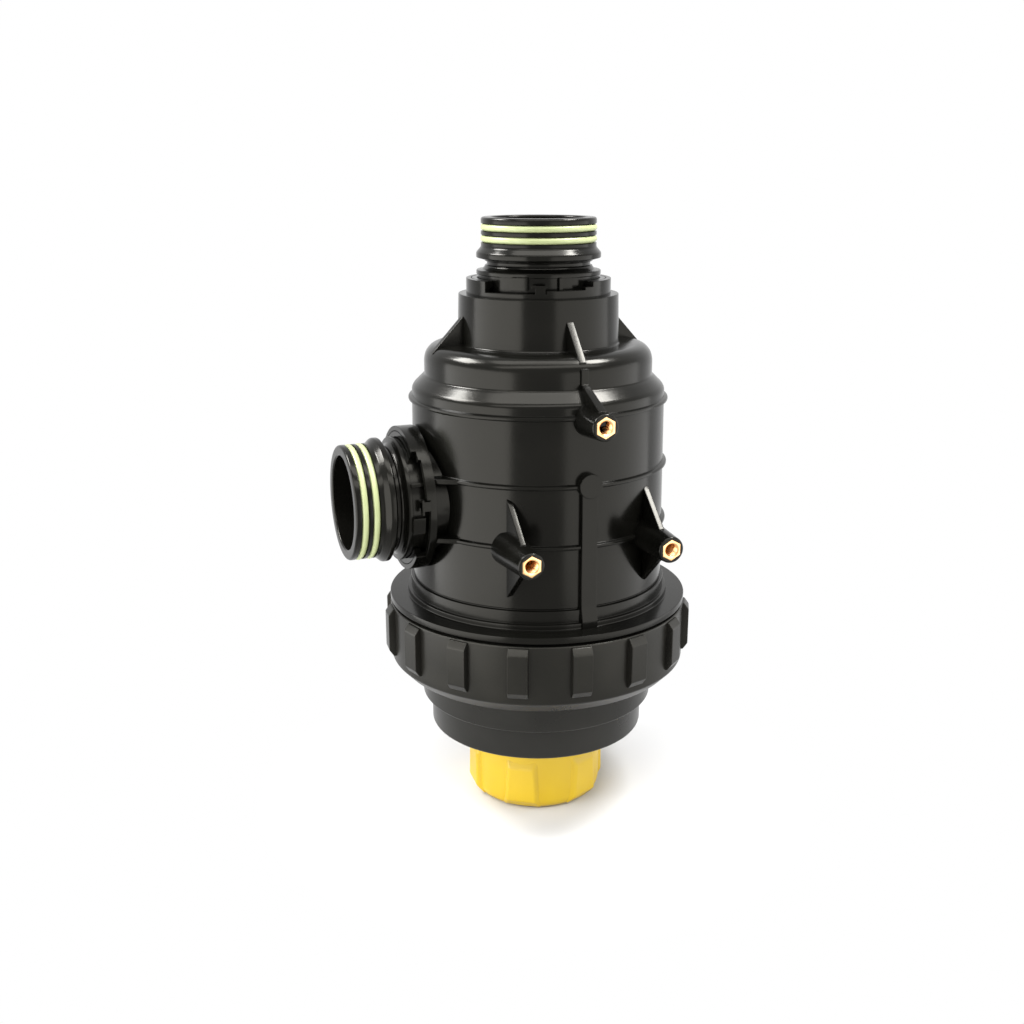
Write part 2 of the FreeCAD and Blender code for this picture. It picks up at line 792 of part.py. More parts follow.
def make_ring_nut():
    body = new_body("ring_nut")
    bore = size.nut_radius - size.nut_wall
    lip_bore = size.bowl_radius + size.thread_clearance
    edge = size.nut_edge_round
    foot = size.nut_bottom + size.nut_foot_chamfer
    corners = [
        (lip_bore, size.nut_bottom),
        (size.nut_radius - size.nut_foot_chamfer, size.nut_bottom),
        (size.nut_radius, foot),
        (size.nut_radius, size.nut_top - edge),
        (size.nut_radius - edge, size.nut_top, edge),
        (bore, size.nut_top),
        (bore, size.nut_bottom + size.nut_lip),
        (lip_bore, size.nut_bottom + size.nut_lip),
    ]
    revolve(body, "nut_turned", corners)
    rib = new_sketch(body, "nut_rib_outline", "YZ_Plane")
    slope = size.nut_rib_chamfer
    rise = size.nut_rib_radius - size.nut_radius
    closed_outline(
        rib,
        [
            (-size.nut_radius + 1, size.nut_rib_foot),
            (-size.nut_radius + 1, size.nut_top - edge),
            (-size.nut_radius - rise * 0.25, size.nut_top - edge),
            (-size.nut_rib_radius, size.nut_top - slope),
            (-size.nut_rib_radius, size.nut_rib_foot + slope),
            (-size.nut_radius - rise * 0.25, size.nut_rib_foot),
        ],
    )
    rib_pad = pad(body, "nut_rib", rib, size.nut_rib_width, symmetric=True)
    around_axis(body, "nut_ribs", [rib_pad], size.nut_rib_count)
    bind(body, "Placement.Rotation.Angle", size.nut_rib_angle)
    return body


def make_bowl():
    body = new_body("bowl")
    flange_bottom = size.nut_bottom + size.nut_lip + size.face_clearance
    flange_top = flange_bottom + size.bowl_flange_thickness
    spigot_radius = size.seal_bore_radius - size.thread_clearance
    spigot_inner = spigot_radius - size.bowl_spigot_wall
    spigot_top = flange_top + size.bowl_spigot_height
    neck_end = size.cap_floor + size.gasket_thickness
    groove_floor = size.seal_bore_radius - size.seal_clearance - size.bowl_ring_section
    groove_half = size.bowl_ring_section / 2 + size.seal_clearance / 2
    groove = flange_top + size.bowl_spigot_height / 2
    lower_inner = size.bowl_lower_radius - size.bowl_wall
    upper_inner = size.bowl_radius - size.bowl_wall
    floor_top = size.bowl_bottom + size.bowl_wall
    corners = [
        (size.drain_bore_radius, neck_end),
        (size.drain_neck_radius, neck_end),
        (size.drain_neck_radius, size.bowl_bottom),
        (size.bowl_lower_radius - 1, size.bowl_bottom),
        (size.bowl_lower_radius, size.bowl_bottom + 1),
        (size.bowl_lower_radius, size.bowl_step),
        (size.bowl_radius - 0.6, size.bowl_step),
        (size.bowl_radius, size.bowl_step + 0.6),
        (size.bowl_radius, flange_bottom),
        (size.bowl_flange_radius, flange_bottom),
        (size.bowl_flange_radius, flange_top),
        (spigot_radius, flange_top),
        (spigot_radius, groove - groove_half),
        (groove_floor, groove - groove_half),
        (groove_floor, groove + groove_half),
        (spigot_radius, groove + groove_half),
        (spigot_radius, spigot_top - 1),
        (spigot_radius - 1, spigot_top),
        (spigot_inner, spigot_top),
        (spigot_inner, flange_top),
        (upper_inner, flange_bottom),
        (upper_inner, size.bowl_step + size.bowl_wall),
        (lower_inner, size.bowl_step + size.bowl_wall * 0.6),
        (lower_inner, floor_top),
        (size.drain_bore_radius, floor_top),
    ]
    revolve(body, "bowl_turned", corners)
    seal_radius = size.seal_bore_radius - size.seal_clearance
    seal = ring_seal("bowl_o_ring", size.bowl_ring_section, seal_radius)
    bind(seal, "Placement.Base.z", groove)
    return [body, seal]


def make_drain_cap():
    body = new_body("drain_cap")
    bore = size.drain_neck_radius + size.thread_clearance
    edge = size.cap_edge_round
    corners = [
        (0, 0),
        (size.cap_radius - edge, 0),
        (size.cap_radius, edge, edge),
        (size.cap_radius, size.cap_height - 1),
        (size.cap_radius - 1, size.cap_height),
        (bore, size.cap_height),
        (bore, size.cap_floor),
        (0, size.cap_floor),
    ]
    revolve(body, "cap_turned", corners)
    rib_base = size.cap_radius - size.cap_rib_sink
    spread = (size.cap_rib_radius - rib_base) * math.tan(math.radians(size.cap_rib_slope.number))
    rib = new_sketch(body, "cap_rib_outline", "XZ_Plane", rib_base)
    half_top = size.cap_rib_top_width / 2 + spread
    half_foot = size.cap_rib_foot_width / 2 + spread
    foot = edge * 0.1
    head = size.cap_rib_top + spread
    closed_outline(rib, [(-half_foot, foot), (half_foot, foot), (half_top, head), (-half_top, head)])
    rib_pad = pad(body, "cap_rib", rib, size.cap_rib_radius - rib_base)
    bind(rib_pad, "TaperAngle", -size.cap_rib_slope)
    around_axis(body, "cap_ribs", [rib_pad], size.cap_rib_count)
    bind(body, "Placement.Rotation.Angle", size.cap_rib_angle)
    return body


def make_gasket():
    gasket = new_body("drain_gasket")
    outer = size.drain_neck_radius
    corners = [
        (size.gasket_bore_radius, size.cap_floor),
        (outer, size.cap_floor),
        (outer, size.cap_floor + size.gasket_thickness),
        (size.gasket_bore_radius, size.cap_floor + size.gasket_thickness),
    ]
    revolve(gasket, "gasket_turned", corners)
    return gasket


def make_cartridge():
    """The strainer cartridge: base on feet, cage, wire mesh, top collar and its seal."""
    floor_top = size.bowl_bottom + size.bowl_wall
    plate_bottom = floor_top + size.base_foot_height
    plate_top = plate_bottom + size.base_plate
    cage_outer = size.mesh_radius - size.mesh_thickness
    cage_inner = cage_outer - size.cage_thickness

    base = new_body("cartridge_base")
    revolve(
        base,
        "base_turned",
        [
            (0, plate_bottom),
            (size.end_ring_radius, plate_bottom),
            (size.end_ring_radius, plate_top + size.base_rim_height),
            (size.mesh_radius, plate_top + size.base_rim_height),
            (size.mesh_radius, plate_top),
            (0, plate_top),
        ],
    )
    foot = new_sketch(base, "foot_outline", "XY_Plane", floor_top)
    foot_inner = size.drain_bore_radius + size.bowl_wall
    sector_outline(foot, foot_inner, size.end_ring_radius - size.bowl_wall, as_size(-8), as_size(8))
    foot_pad = pad(base, "foot", foot, size.base_foot_height + 1)
    around_axis(base, "feet", [foot_pad], size.base_foot_count)

    mesh = new_body("cartridge_mesh")
    tube_corners = [
        (cage_outer, plate_top),
        (size.mesh_radius, plate_top),
        (size.mesh_radius, size.cartridge_top),
        (cage_outer, size.cartridge_top),
    ]
    revolve(mesh, "mesh_turned", tube_corners)

    cage = new_body("cartridge_cage")
    cage_corners = [
        (cage_inner, plate_top),
        (cage_outer, plate_top),
        (cage_outer, size.cartridge_top),
        (cage_inner, size.cartridge_top),
    ]
    revolve(cage, "cage_turned", cage_corners)
    span = size.cartridge_top - plate_top
    rows = size.cage_window_rows
    window_height = (span - size.cage_bar) / rows - size.cage_bar
    window_width = cage_inner * 2 * math.sin(math.pi / size.cage_window_count.number) - size.cage_bar
    window = new_sketch(cage, "window_outline", "XZ_Plane")
    sill = plate_top + size.cage_bar
    closed_outline(
        window,
        [
            (-window_width / 2, sill),
            (window_width / 2, sill),
            (window_width / 2, sill + window_height),
            (-window_width / 2, sill + window_height),
        ],
    )
    opening = cage.newObject("PartDesign::Pocket", "window")
    opening.Profile = window
    opening.Type = "Length"
    opening.Reversed = True
    bind(opening, "Length", size.mesh_radius)
    window.Visibility = False
    column = cage.newObject("PartDesign::LinearPattern", "window_column")
    column.Direction = (window, ["V_Axis"])
    bind(column, "Length", (window_height + size.cage_bar) * (rows - 1))
    bind(column, "Occurrences", rows)
    around = cage.newObject("PartDesign::PolarPattern", "window_ring")
    around.Axis = (origin_feature(cage, "Z_Axis"), [""])
    around.Angle = 360
    bind(around, "Occurrences", size.cage_window_count)
    windows = cage.newObject("PartDesign::MultiTransform", "windows")
    windows.Originals = [opening]
    windows.Transformations = [column, around]
    cage.Tip = windows

    collar = new_body("cartridge_collar")
    collar_radius = size.turret_inner_radius - size.thread_clearance - size.seal_clearance / 2
    collar_inner = collar_radius - size.collar_wall
    shoulder = size.cartridge_top + size.end_ring_height
    collar_top = size.cartridge_top + size.collar_height
    groove = collar_top - size.collar_height / 4
    half = size.collar_ring_section / 2 + size.seal_clearance / 2
    seal_radius = size.turret_inner_radius - size.seal_clearance
    groove_floor = seal_radius - size.collar_ring_section
    revolve(
        collar,
        "collar_turned",
        [
            (cage_inner, size.cartridge_top),
            (size.end_ring_radius, size.cartridge_top),
            (size.end_ring_radius, shoulder),
            (collar_radius, shoulder + size.end_ring_height / 2),
            (collar_radius, groove - half),
            (groove_floor, groove - half),
            (groove_floor, groove + half),
            (collar_radius, groove + half),
            (collar_radius, collar_top - 1),
            (collar_radius - 1, collar_top),
            (collar_inner, collar_top),
            (collar_inner, shoulder),
            (cage_inner, size.cartridge_top + 1),
        ],
    )
    seal = ring_seal("cartridge_o_ring", size.collar_ring_section, seal_radius)
    bind(seal, "Placement.Base.z", groove)
    return [base, mesh, cage, collar, seal]


pieces = [
    make_filter_body(),
    *[make_insert(side) for side in boss_places()],
    *[piece for port in port_frames for piece in make_spigot(port)],
    make_ring_nut(),
    *make_bowl(),
    make_drain_cap(),
    make_gasket(),
    *make_cartridge(),
]

doc.recompute()

for thing in doc.Objects:
    if "Invalid" in thing.State or "Error" in thing.State:
        raise RuntimeError(f"{thing.Name} did not compute: {thing.getStatusString()}")
for piece in pieces:
    if piece.Shape.isNull() or not piece.Shape.isValid():
        raise RuntimeError(f"{piece.Name} has no valid shape")

os.makedirs("parts", exist_ok=True)
for piece in pieces:
    piece.Shape.exportStep(f"parts/{piece.Label}.step")
    print(piece.Label, len(piece.Shape.Solids), round(piece.Shape.Volume))
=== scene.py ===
import math

import bmesh
import bpy
from mathutils import Matrix, Vector


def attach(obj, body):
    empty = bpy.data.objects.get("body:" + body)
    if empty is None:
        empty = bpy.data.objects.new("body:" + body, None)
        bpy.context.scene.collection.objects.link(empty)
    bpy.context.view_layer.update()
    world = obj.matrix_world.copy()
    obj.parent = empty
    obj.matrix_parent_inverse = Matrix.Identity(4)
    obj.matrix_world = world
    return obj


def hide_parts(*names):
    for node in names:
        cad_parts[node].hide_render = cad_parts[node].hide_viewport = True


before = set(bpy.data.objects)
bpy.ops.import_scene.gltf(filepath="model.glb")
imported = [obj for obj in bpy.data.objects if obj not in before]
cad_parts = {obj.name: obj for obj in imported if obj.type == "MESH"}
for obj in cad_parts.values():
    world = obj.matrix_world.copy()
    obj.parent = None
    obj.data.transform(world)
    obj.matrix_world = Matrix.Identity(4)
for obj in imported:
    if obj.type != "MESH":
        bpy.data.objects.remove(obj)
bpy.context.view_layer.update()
print("frame loaded:", len(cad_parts), "nodes")

# Shapes are drawn in millimetres in the part's own frame and made metres at the end.
millimetre = 0.001


# materials

noiseReach = (0.3, 0.7)  # where most of a noise's values lie
colourStops = (0.35, 0.65)  # where the first colour ends and the second one starts


def nodeMaterial(name):
    material = bpy.data.materials.new(name)
    material.use_nodes = True
    tree = material.node_tree
    return material, tree, tree.nodes["Principled BSDF"]


def objectNoise(tree, scale, detail, roughness):
    place = tree.nodes.new("ShaderNodeTexCoord")
    noise = tree.nodes.new("ShaderNodeTexNoise")
    noise.inputs["Scale"].default_value = scale
    noise.inputs["Detail"].default_value = detail
    noise.inputs["Roughness"].default_value = roughness
    tree.links.new(place.outputs["Object"], noise.inputs["Vector"])
    return noise


def spread(tree, noise, low, high):
    # maps a noise to a number between low and high
    reach = tree.nodes.new("ShaderNodeMapRange")
    reach.inputs["From Min"].default_value, reach.inputs["From Max"].default_value = noiseReach
    reach.inputs["To Min"].default_value = low
    reach.inputs["To Max"].default_value = high
    tree.links.new(noise.outputs["Fac"], reach.inputs["Value"])
    return reach.outputs["Result"]


def mixedColour(tree, noise, first, second):
    ramp = tree.nodes.new("ShaderNodeValToRGB")
    for stop, position, colour in zip(ramp.color_ramp.elements, colourStops, (first, second)):
        stop.position = position
        stop.color = (*colour, 1)
    tree.links.new(noise.outputs["Fac"], ramp.inputs["Fac"])
    return ramp.outputs["Color"]


def addBump(tree, shader, height, strength, distance):
    bump = tree.nodes.new("ShaderNodeBump")
    bump.inputs["Strength"].default_value = strength
    bump.inputs["Distance"].default_value = distance
    tree.links.new(height, bump.inputs["Height"])
    tree.links.new(bump.outputs["Normal"], shader.inputs["Normal"])


plastics = {
    # dark and light tone, lowest and highest roughness, the grain's scale and depth in metres,
    # and how strongly and in what tint the surface mirrors light; the black ones mirror it warm
    "glossyBlackPlastic": {
        "tones": ((0.0017, 0.0017, 0.0014), (0.0027, 0.0026, 0.0021)),
        "roughness": (0.16, 0.23),
        "grain": (420, 0.00008),
        "shine": 0.16,
        "sheen": (1.0, 0.965, 0.87, 1),
    },
    "satinBlackPlastic": {
        "tones": ((0.0056, 0.0055, 0.0046), (0.0082, 0.0078, 0.0064)),
        "roughness": (0.27, 0.36),
        "grain": (620, 0.00014),
        "shine": 0.22,
        "sheen": (1.0, 0.965, 0.87, 1),
    },
    "bowlBlackPlastic": {
        "tones": ((0.0064, 0.0063, 0.0055), (0.0092, 0.0090, 0.0078)),
        "roughness": (0.25, 0.34),
        "grain": (620, 0.00012),
        "shine": 0.32,
        "sheen": (1.0, 0.975, 0.91, 1),
    },
    "drainCapYellow": {
        "tones": ((0.54, 0.355, 0.004), (0.57, 0.38, 0.006)),
        "roughness": (0.34, 0.44),
        "grain": (700, 0.00015),
        "shine": 0.5,
        "sheen": (1, 1, 1, 1),
    },
    "strainerCagePlastic": {
        "tones": ((0.30, 0.045, 0.03), (0.35, 0.055, 0.035)),
        "roughness": (0.42, 0.52),
        "grain": (500, 0.0002),
        "shine": 0.5,
        "sheen": (1, 1, 1, 1),
    },
}
mouldFlow = (28, 4, 0.55)  # scale, detail and roughness of the slow change of tone in a moulding
fineGrain = (2, 0.5)  # detail and roughness of every surface's grain
plasticGrainStrength = 0.25


def mouldedPlastic(name):
    values = plastics[name]
    material, tree, shader = nodeMaterial(name)
    shader.inputs["Specular IOR Level"].default_value = values["shine"]
    shader.inputs["Specular Tint"].default_value = values["sheen"]
    flow = objectNoise(tree, *mouldFlow)
    tree.links.new(mixedColour(tree, flow, *values["tones"]), shader.inputs["Base Color"])
    tree.links.new(spread(tree, flow, *values["roughness"]), shader.inputs["Roughness"])
    grainScale, grainDepth = values["grain"]
    grain = objectNoise(tree, grainScale, *fineGrain)
    addBump(tree, shader, grain.outputs["Fac"], plasticGrainStrength, grainDepth)
    return material


rubbers = {
    "limeSealRubber": {"tones": ((0.30, 0.335, 0.155), (0.33, 0.365, 0.18)), "roughness": 0.38},
    "blackSealRubber": {"tones": ((0.028, 0.028, 0.027), (0.02, 0.02, 0.02)), "roughness": 0.55},
}
rubberBloom = (160, 5, 0.6)  # scale, detail and roughness of the bloom on the rubber
rubberGrain = {"scale": 1500, "strength": 0.2, "depth": 0.0001}


def sealRubber(name):
    values = rubbers[name]
    material, tree, shader = nodeMaterial(name)
    bloom = objectNoise(tree, *rubberBloom)
    tree.links.new(mixedColour(tree, bloom, *values["tones"]), shader.inputs["Base Color"])
    shader.inputs["Roughness"].default_value = values["roughness"]
    grain = objectNoise(tree, rubberGrain["scale"], *fineGrain)
    addBump(tree, shader, grain.outputs["Fac"], rubberGrain["strength"], rubberGrain["depth"])
    return material


brass = {
    "tones": ((0.78, 0.46, 0.20), (0.88, 0.54, 0.26)),
    "roughness": (0.22, 0.34),
    "tarnish": (240, 4, 0.6),
    "toolMarks": {"scale": 2600, "strength": 0.15, "depth": 0.00005},
}


def turnedBrass():
    material, tree, shader = nodeMaterial("turnedBrass")
    shader.inputs["Metallic"].default_value = 1.0
    tarnish = objectNoise(tree, *brass["tarnish"])
    tree.links.new(mixedColour(tree, tarnish, *brass["tones"]), shader.inputs["Base Color"])
    tree.links.new(spread(tree, tarnish, *brass["roughness"]), shader.inputs["Roughness"])
    marks = objectNoise(tree, brass["toolMarks"]["scale"], *fineGrain)
    addBump(tree, shader, marks.outputs["Fac"], brass["toolMarks"]["strength"], brass["toolMarks"]["depth"])
    return material


wireCloth = {
    # in metres: the sleeve's radius, the wires' spacing and their thickness
    "radius": 0.0532,
    "spacing": 0.0008,
    "wire": 0.00014,
    # the openings between the wires get a dark tone: painted shade, the darkness seen through them
    "gapShadeTones": ((0.03, 0.03, 0.03, 1), (0.04, 0.04, 0.04, 1)),
    "wireTone": (0.55, 0.56, 0.55, 1),
    "metallic": 0.8,
    "roughness": 0.35,
    "bump": (0.5, 0.0002),
}


def wireMesh():
    # fine weave on a tube: thin bright wires over gaps painted dark as painted shade seen through the
    # openings, round the axis and along it
    material, tree, shader = nodeMaterial("strainerWireMesh")
    place = tree.nodes.new("ShaderNodeTexCoord")
    weave = tree.nodes.new("ShaderNodeTexBrick")
    split = tree.nodes.new("ShaderNodeSeparateXYZ")
    angle = tree.nodes.new("ShaderNodeMath")
    angle.operation = "ARCTAN2"
    around = tree.nodes.new("ShaderNodeMath")
    around.operation = "MULTIPLY"
    around.inputs[1].default_value = wireCloth["radius"]
    flat = tree.nodes.new("ShaderNodeCombineXYZ")
    tree.links.new(place.outputs["Object"], split.inputs[0])
    tree.links.new(split.outputs["Y"], angle.inputs[0])
    tree.links.new(split.outputs["X"], angle.inputs[1])
    tree.links.new(angle.outputs[0], around.inputs[0])
    tree.links.new(around.outputs[0], flat.inputs["X"])
    tree.links.new(split.outputs["Z"], flat.inputs["Y"])
    tree.links.new(flat.outputs[0], weave.inputs["Vector"])
    weave.inputs["Color1"].default_value, weave.inputs["Color2"].default_value = wireCloth["gapShadeTones"]
    weave.inputs["Mortar"].default_value = wireCloth["wireTone"]
    weave.inputs["Scale"].default_value = 1.0
    weave.inputs["Brick Width"].default_value = wireCloth["spacing"]
    weave.inputs["Row Height"].default_value = wireCloth["spacing"]
    weave.inputs["Mortar Size"].default_value = wireCloth["wire"]
    weave.offset = 0.0
    tree.links.new(weave.outputs["Color"], shader.inputs["Base Color"])
    shader.inputs["Metallic"].default_value = wireCloth["metallic"]
    shader.inputs["Roughness"].default_value = wireCloth["roughness"]
    addBump(tree, shader, weave.outputs["Fac"], *wireCloth["bump"])
    return material


glossyBlack = mouldedPlastic("glossyBlackPlastic")
satinBlack = mouldedPlastic("satinBlackPlastic")
bowlBlack = mouldedPlastic("bowlBlackPlastic")
capYellow = mouldedPlastic("drainCapYellow")
cageRed = mouldedPlastic("strainerCagePlastic")
limeRubber = sealRubber("limeSealRubber")
blackRubber = sealRubber("blackSealRubber")
insertBrass = turnedBrass()
strainerWire = wireMesh()
print("materials made")


# shaping helpers, all in millimetres

samePoint = 0.0005  # points nearer than this are one
broadRounding = 0.7  # a rounding above this gets more segments
sharpTurn = 0.7  # in radians: a block's edges that turn more than this are rounded
blockStep = 3  # degrees between the sections of a block on a ring
blockRounding = 0.25
creaseAngle = 32  # in degrees: edges that turn more than this stay sharp in shading
evenFacesWeight = 60  # how far large flat faces keep their own shading
facingFront = Matrix.Rotation(math.radians(90), 4, "X")  # turns a shape's Z towards -Y


def turned(profile, steps, closed=True):
    # profile: (radius, height) or (radius, height, rounding) corners, turned round the Z axis
    shape = bmesh.new()
    corners = [shape.verts.new((corner[0], 0, corner[1])) for corner in profile]
    for first, second in zip(corners, corners[1:]):
        shape.edges.new((first, second))
    if closed:
        shape.edges.new((corners[-1], corners[0]))
    roundings = {}
    for corner, values in zip(corners, profile):
        if len(values) > 2 and values[2] > 0:
            roundings.setdefault(values[2], []).append(corner)
    for rounding, some in sorted(roundings.items()):
        segments = 4 if rounding > broadRounding else 2
        bmesh.ops.bevel(shape, geom=some, offset=rounding, offset_type="OFFSET", segments=segments,
                        profile=0.5, affect="VERTICES", material=-1)
    bmesh.ops.spin(shape, geom=shape.verts[:] + shape.edges[:], cent=(0, 0, 0), axis=(0, 0, 1),
                   angle=math.tau, steps=steps, use_merge=True)
    bmesh.ops.remove_doubles(shape, verts=shape.verts[:], dist=samePoint)
    return shape


def plate(outline, thickness, rounding):
    # outline: (y, z) corners of a plate that stands in the plane X = 0, thickness along X
    shape = bmesh.new()
    face = shape.faces.new([shape.verts.new((-thickness / 2, y, z)) for y, z in outline])
    raised = bmesh.ops.extrude_face_region(shape, geom=[face])
    lifted = [part for part in raised["geom"] if isinstance(part, bmesh.types.BMVert)]
    bmesh.ops.translate(shape, verts=lifted, vec=(thickness, 0, 0))
    bmesh.ops.recalc_face_normals(shape, faces=shape.faces[:])
    bmesh.ops.bevel(shape, geom=shape.edges[:], offset=rounding, offset_type="OFFSET", segments=2,
                    profile=0.5, affect="EDGES", clamp_overlap=True, material=-1)
    return shape


def ringPiece(inner, outer, bottom, top, start, end, rounding=blockRounding):
    # a block that follows a ring round Z; angles in degrees from -Y towards +X
    shape = bmesh.new()
    corners = [(inner, bottom), (outer, bottom), (outer, top), (inner, top)]
    face = shape.faces.new([shape.verts.new((radius, 0, height)) for radius, height in corners])
    firstTurn = Matrix.Rotation(math.radians(start - 90), 3, "Z")
    bmesh.ops.rotate(shape, verts=shape.verts[:], cent=(0, 0, 0), matrix=firstTurn)
    bmesh.ops.spin(shape, geom=[face] + face.verts[:] + face.edges[:], cent=(0, 0, 0), axis=(0, 0, 1),
                   angle=math.radians(end - start), steps=max(2, int((end - start) / blockStep)))
    bmesh.ops.remove_doubles(shape, verts=shape.verts[:], dist=samePoint)
    bmesh.ops.recalc_face_normals(shape, faces=shape.faces[:])
    sharp = [edge for edge in shape.edges if len(edge.link_faces) == 2 and edge.calc_face_angle() > sharpTurn]
    bmesh.ops.bevel(shape, geom=sharp, offset=rounding, offset_type="OFFSET", segments=2,
                    profile=0.5, affect="EDGES", clamp_overlap=True, material=-1)
    return shape


def joined(shapes):
    # puts several shapes into one
    whole = bmesh.new()
    for shape in shapes:
        mesh = bpy.data.meshes.new("part")
        shape.to_mesh(mesh)
        whole.from_mesh(mesh)
        bpy.data.meshes.remove(mesh)
        shape.free()
    return whole


def repeated(shape, count, offset=0.0):
    # copies of a shape round the Z axis
    copies = []
    for index in range(count):
        copy = shape.copy()
        turn = Matrix.Rotation(math.radians(offset + 360 * index / count), 3, "Z")
        bmesh.ops.rotate(copy, verts=copy.verts[:], cent=(0, 0, 0), matrix=turn)
        copies.append(copy)
    shape.free()
    return joined(copies)


def moved(shape, matrix):
    bmesh.ops.transform(shape, matrix=matrix, verts=shape.verts[:])
    return shape


def finishPiece(name, shape, material, body, stands=(), weighted=True):
    # turns a shape in millimetres into a finished object of the part
    bmesh.ops.scale(shape, vec=(millimetre,) * 3, verts=shape.verts[:])
    bmesh.ops.recalc_face_normals(shape, faces=shape.faces[:])
    for face in shape.faces:
        face.smooth = True
    crease = math.radians(creaseAngle)
    for edge in shape.edges:
        edge.smooth = not (len(edge.link_faces) == 2 and edge.calc_face_angle() > crease)
    mesh = bpy.data.meshes.new(name)
    shape.to_mesh(mesh)
    shape.free()
    mesh.materials.append(material)
    piece = bpy.data.objects.new(name, mesh)
    bpy.context.scene.collection.objects.link(piece)
    if weighted:
        weight = piece.modifiers.new("evenFaces", "WEIGHTED_NORMAL")
        weight.keep_sharp = True
        weight.weight = evenFacesWeight
    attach(piece, body)
    if stands:
        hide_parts(*stands)


def finishHousing(name, shape, stands=()):
    finishPiece(name, shape, glossyBlack, "housing", stands)


# barrel, shoulder, dome and turret

portBore = 28.2  # the way through the crowns and their sockets
socketRadius = 32.3  # where a spigot's tail is held

barrel = {
    "skirtRadius": 79.1,
    "skirtBottom": 94.3,
    "flangeRadius": 85.0,
    "flangeBottom": 123.0,
    "flangeTop": 126.5,
    "lowerRing": (74.8, 129.5),
    "upperRing": (72.8, 136.4),
    "grooveDepth": 0.35,
    "grooveWidth": 0.7,
    "grooveEnd": 0.9,
    "footRadius": 71.15,
    "topRadius": 70.05,
    "beads": (170.5, 202.8, 238.6),
    "beadProud": 2.0,
    "beadHalfWidth": 1.35,
    "beadCrestShare": 0.62,
    # corners as (radius, height, rounding), from the barrel's top edge upwards
    "shoulderBottom": 243.2,
    "shoulder": [(69.85, 244.4, 0.6), (69.0, 245.9, 0.8), (64.4, 250.4, 0.8), (63.05, 251.5, 0.7)],
    "dome": [(63.05, 260.2, 1.5), (62.0, 263.9, 1.5), (59.2, 267.0, 1.5), (55.4, 268.3, 1.5)],
    "turret": [(44.5, 268.3, 0.9), (44.3, 270.6, 0.9)],
    "turretTopRadius": 43.7,
    "turretTop": 295.1,
    "socketFloor": 283.1,
    # the sleeve that the cartridge's collar enters, and the inner wall down from it
    "sleeveBore": 40.2,
    "sleeveRadius": 44.4,
    "sleeveTop": 290.6,
    "sleeveBottom": 245.0,
    "inside": [(44.4, 264.3), (56.0, 264.3), (59.0, 260.0), (59.0, 250.0), (66.4, 241.0)],
    "innerRadius": 66.4,
    "sealBore": (72.0, 108.2),
    "sealLead": 6,
    "steps": 240,
}


def barrelRadiusAt(height):
    share = (height - barrel["upperRing"][1]) / (barrel["shoulderBottom"] - barrel["upperRing"][1])
    return barrel["footRadius"] + (barrel["topRadius"] - barrel["footRadius"]) * share


def barrelProfile():
    values = barrel
    lowerRadius, lowerTop = values["lowerRing"]
    upperRadius, upperTop = values["upperRing"]
    sealRadius, sealTop = values["sealBore"]
    grooveRadius = values["footRadius"] - values["grooveDepth"]
    profile = [
        (sealRadius, values["skirtBottom"]),
        (values["skirtRadius"], values["skirtBottom"], 0.5),
        (values["skirtRadius"], values["flangeBottom"]),
        (values["flangeRadius"], values["flangeBottom"], 0.3),
        (values["flangeRadius"], values["flangeTop"], 0.55),
        (lowerRadius, values["flangeTop"], 0.7),
        (lowerRadius, lowerTop, 0.6),
        (upperRadius, lowerTop, 0.3),
        (upperRadius, upperTop, 0.55),
        (grooveRadius, upperTop, 0.25),
        (grooveRadius, upperTop + values["grooveWidth"], 0.2),
        (values["footRadius"], upperTop + values["grooveEnd"]),
    ]
    half = values["beadHalfWidth"]
    crestHalf = half * values["beadCrestShare"]
    for height in values["beads"]:
        crest = barrelRadiusAt(height) + values["beadProud"]
        profile += [
            (barrelRadiusAt(height - half), height - half, 0.4),
            (crest, height - crestHalf, 0.56),
            (crest, height + crestHalf, 0.56),
            (barrelRadiusAt(height + half), height + half, 0.4),
        ]
    profile += [
        (values["topRadius"], values["shoulderBottom"], 0.5),
        *values["shoulder"],
        *values["dome"],
        *values["turret"],
        (values["turretTopRadius"], values["turretTop"], 0.5),
        (portBore, values["turretTop"], 0.3),
        (portBore, values["socketFloor"], 0.4),
        (socketRadius, values["socketFloor"], 0.4),
        (socketRadius, values["sleeveTop"]),
        (values["sleeveBore"], values["sleeveTop"]),
        (values["sleeveBore"], values["sleeveBottom"]),
        (values["sleeveRadius"], values["sleeveBottom"]),
        *values["inside"],
        (values["innerRadius"], sealTop + values["sealLead"]),
        (sealRadius, sealTop),
    ]
    return profile


sidePort = {
    "face": -72.9,
    "height": 186.7,
    "turn": 26.9,
    # the way through the wall, and the part of the wall that is cut for it
    "holeRadius": 28.9,
    "holeSides": 24,
    "wallFrom": -45,
    "wallHalfWidth": 42,
    "wallHalfHeight": 48,
    "cutSlack": 0.0001,
}


